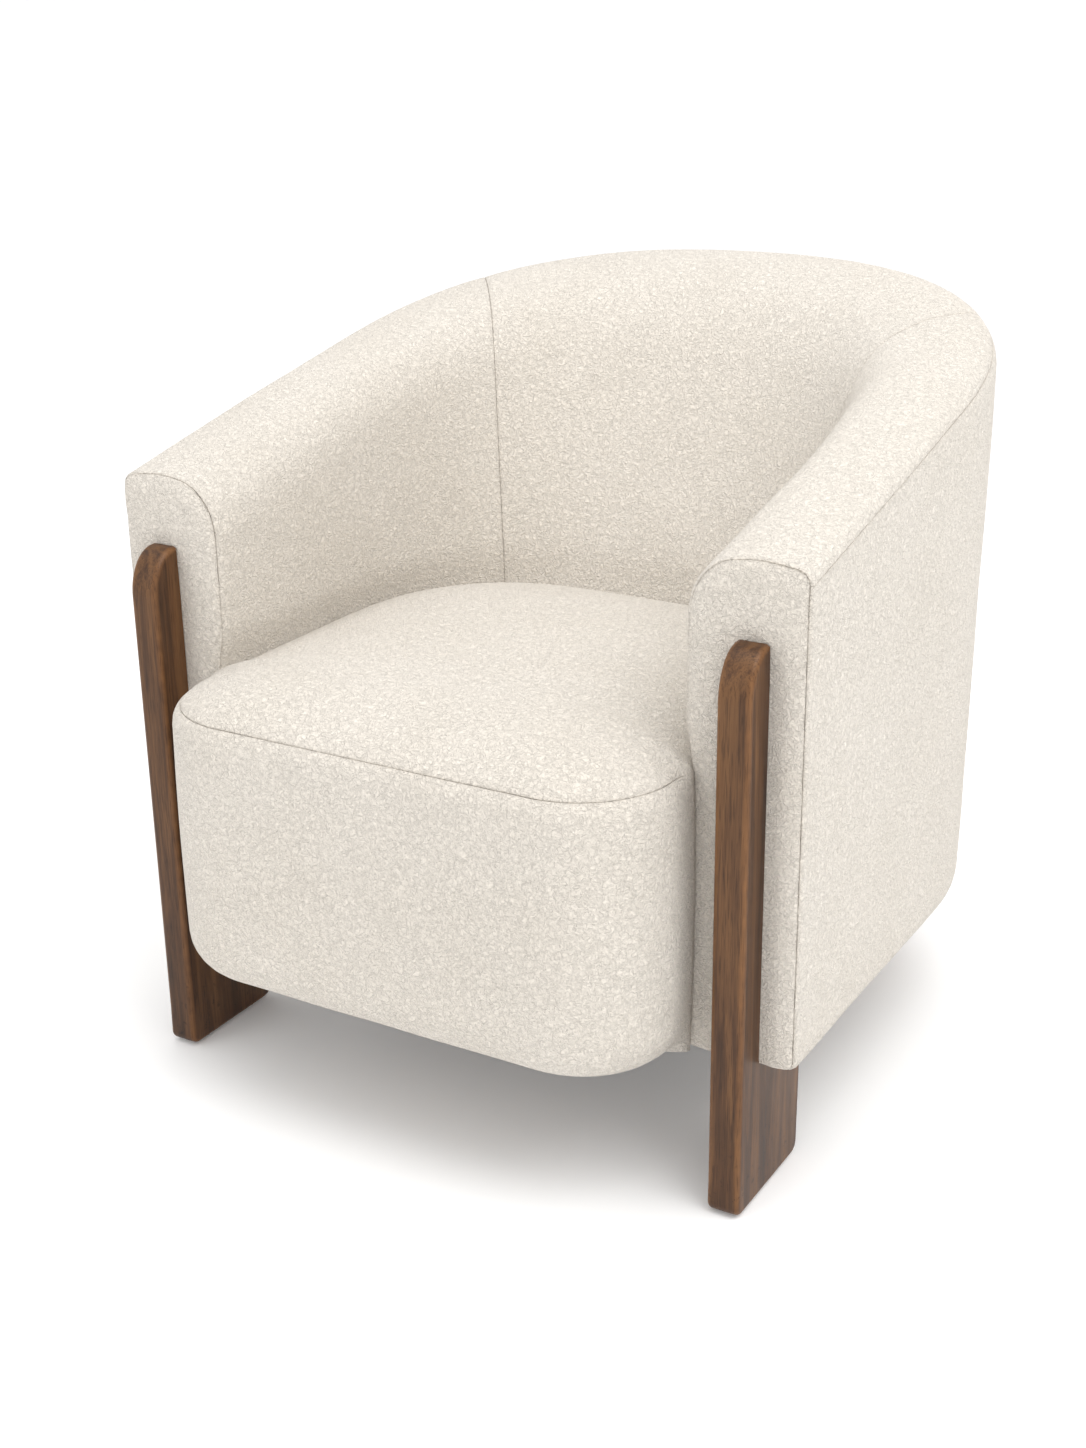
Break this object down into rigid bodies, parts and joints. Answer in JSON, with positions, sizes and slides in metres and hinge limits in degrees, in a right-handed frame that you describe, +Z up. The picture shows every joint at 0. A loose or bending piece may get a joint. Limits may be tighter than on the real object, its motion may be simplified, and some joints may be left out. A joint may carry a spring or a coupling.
{
  "type": "upholstered armchair",
  "caption": "Tub armchair with a U-shaped padded shell that rises to the back, a deep tight seat and L-shaped walnut plank front legs.",
  "frame": {"origin": "on the floor, under the middle of the chair's bounding box", "axes": "+Z up, the chair faces -Y, +X to the right seen from the front"},
  "size_m": [0.74, 0.855, 0.766],
  "materials": {
    "boucle": "cream boucle with a short curled nap",
    "foam": "open-cell polyurethane foam",
    "dust_cloth": "black non-woven cloth",
    "webbing": "elastic webbing",
    "walnut": "dark stained walnut, satin lacquer",
    "birch": "sawn hardwood",
    "plywood": "birch plywood",
    "spring_steel": "oiled spring wire",
    "zinc_steel": "zinc plated",
    "nylon": "moulded nylon"
  },
  "bodies": {
    "root": {"apron_foam": "foam", "apron_panel": "plywood", "arm_left_front_cover": "boucle", "arm_left_front_pad": "foam", "arm_left_outside_panel": "plywood", "arm_left_pad": "foam", "arm_left_top_rail": "birch", "arm_post_left": "birch", "arm_post_right": "birch", "arm_right_front_cover": "boucle", "arm_right_front_pad": "foam", "arm_right_outside_panel": "plywood", "arm_right_pad": "foam", "arm_right_top_rail": "birch", "back_outside_panel": "plywood", "back_pad": "foam", "back_post_left": "birch", "back_post_right": "birch", "back_top_rail": "birch", "back_webbing_1": "webbing", "back_webbing_2": "webbing", "base_board": "plywood", "corner_block_left": "birch", "corner_block_right": "birch", "dust_cover": "dust_cloth", "front_deck": "plywood", "front_leg_left": "walnut", "front_leg_right": "walnut", "front_rail": "birch", "glide_left_front_heel": "nylon", "glide_left_front_toe": "nylon", "glide_left_rear": "nylon", "glide_right_front_heel": "nylon", "glide_right_front_toe": "nylon", "glide_right_rear": "nylon", "inside_arm_left_cover": "boucle", "inside_arm_right_cover": "boucle", "inside_back_cover": "boucle", "leg_bolt_left_foot": "zinc_steel", "leg_bolt_left_lower": "zinc_steel", "leg_bolt_left_upper": "zinc_steel", "leg_bolt_right_foot": "zinc_steel", "leg_bolt_right_lower": "zinc_steel", "leg_bolt_right_upper": "zinc_steel", "outside_cover": "boucle", "rear_leg_bolt_left": "zinc_steel", "rear_leg_bolt_right": "zinc_steel", "rear_leg_left": "walnut", "rear_leg_right": "walnut", "rear_rail": "birch", "seat_border_cover": "boucle", "seat_foam": "foam", "seat_spring_1": "spring_steel", "seat_spring_2": "spring_steel", "seat_spring_3": "spring_steel", "seat_spring_4": "spring_steel", "seat_top_cover": "boucle", "side_rail_left": "birch", "side_rail_right": "birch"}
  },
  "joints": []
}
